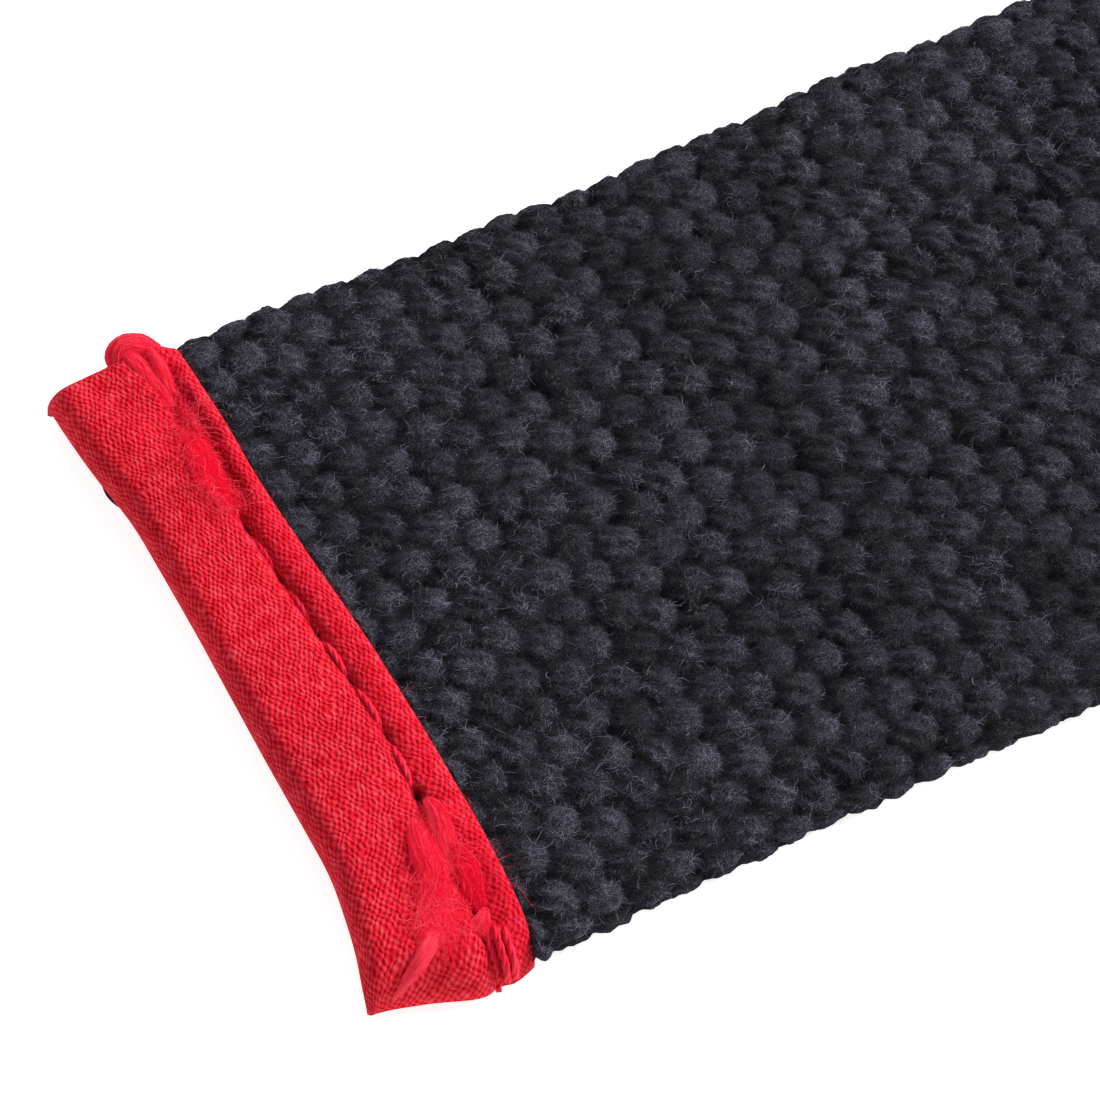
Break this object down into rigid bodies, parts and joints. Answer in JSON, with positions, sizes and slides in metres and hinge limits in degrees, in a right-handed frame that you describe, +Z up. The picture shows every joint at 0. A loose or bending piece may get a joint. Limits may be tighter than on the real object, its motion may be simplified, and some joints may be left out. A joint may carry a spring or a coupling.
{
  "type": "lifting hand strap",
  "caption": "Wide cotton webbing hand strap with a taped and sewn free end, threaded through its own sewn eye to make a wrist loop that pulls tight.",
  "frame": {"origin": "middle of the flat resting face under the tail, 118 mm from the cut end of the webbing", "axes": "+X along the strap from the bound free end towards the wrist loop, +Y across the strap's width, +Z up from the surface it lies on"},
  "size_m": [0.2804, 0.1033, 0.0883],
  "materials": {
    "webbing": "thick black cotton webbing, coarse knobbly plain weave with fuzzy yarns",
    "binding": "red plain-weave cotton tape, matt, folded round the cut end",
    "thread": "red spun sewing thread with a soft sheen"
  },
  "bodies": {
    "eye": {"webbing_eye": "webbing", "webbing_wrist_loop": "webbing", "eye_box_needle_thread": "thread", "eye_box_bobbin_thread": "thread", "eye_bartack_thread": "thread"},
    "tail": {"webbing_tail": "webbing"},
    "free_end": {"webbing_free_end": "webbing", "end_binding_tape": "binding", "binding_needle_thread": "thread", "binding_bobbin_thread": "thread", "binding_backtack_far": "thread", "binding_backtack_near": "thread"}
  },
  "joints": [
    {"name": "cinch", "type": "slide", "parent": "eye", "child": "tail", "axis": [-1, 0, 0], "range_m": [-0.015, 0.025], "deforming": ["webbing_wrist_loop"]},
    {"name": "free_end_lift", "type": "hinge", "parent": "tail", "child": "free_end", "pos_m": [-0.028, 0, 0.0024], "axis": [0, 1, 0], "range_deg": [0, 75]}
  ]
}
